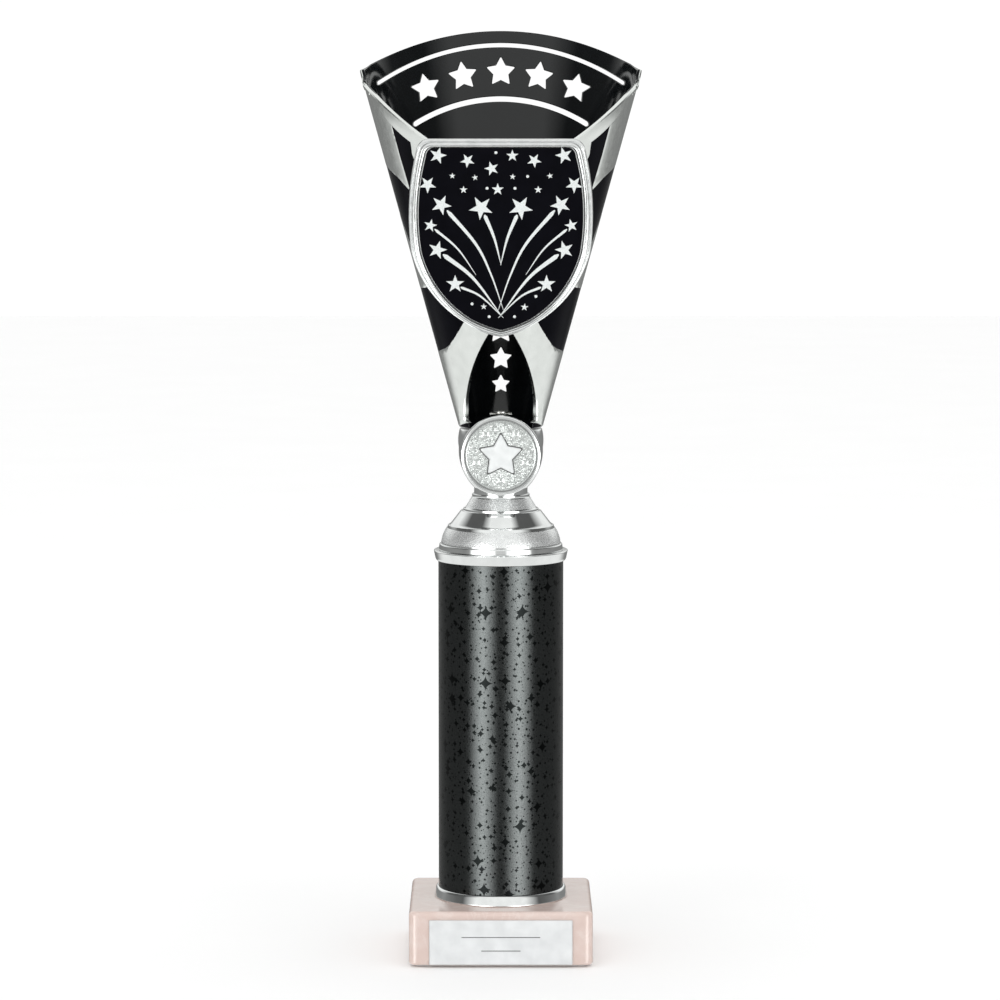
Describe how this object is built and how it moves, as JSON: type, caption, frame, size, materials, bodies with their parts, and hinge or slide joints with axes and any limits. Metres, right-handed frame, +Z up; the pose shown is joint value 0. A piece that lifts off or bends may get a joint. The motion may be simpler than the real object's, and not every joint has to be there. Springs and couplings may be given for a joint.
{
  "type": "column trophy",
  "caption": "Column trophy: square marble base, foil-wrapped round column, silver riser and medal holder, and an open-fronted conical cup that carries a star shield.",
  "frame": {"origin": "middle of the base's underside, on the tie rod's axis", "axes": "+Z up along the column, the shield and plate face -Y, +X is the right-hand side seen from the front"},
  "size_m": [0.1009, 0.0958, 0.3322],
  "materials": {
    "pad_foam": "pale matt foam pad",
    "marble": "pale pink-cream marble, softly polished, faint clouding",
    "adhesive": "white double-sided foam tape",
    "plate_silver": "plain silver plate, satin",
    "plated_silver": "moulded plastic with bright vacuum-metallised silver",
    "column_board": "plain brown board tube",
    "column_foil": "satin black foil with darker stars and dots",
    "disc_silver": "pressed silver disc with pebbled ground",
    "cup_black": "gloss black lacquer with metallised silver panels and leaves",
    "insert_print": "black print with silver stars and rays",
    "zinc_steel": "zinc-plated steel"
  },
  "bodies": {
    "root": {"base_pad": "pad_foam", "marble_base": "marble", "plate_adhesive": "adhesive", "engraving_plate": "plate_silver", "lower_collar": "plated_silver", "column_core": "column_board", "column_wrap": "column_foil", "upper_collar": "plated_silver", "riser": "plated_silver", "medal_holder": "plated_silver", "disc_adhesive": "adhesive", "centre_disc": "disc_silver", "cup_hood": "cup_black", "shield_frame": "plated_silver", "insert_adhesive": "adhesive", "shield_insert": "insert_print", "tie_rod": "zinc_steel", "bottom_washer": "zinc_steel", "spring_washer": "zinc_steel", "bottom_nut": "zinc_steel", "top_washer": "zinc_steel", "top_nut": "zinc_steel"}
  },
  "joints": []
}
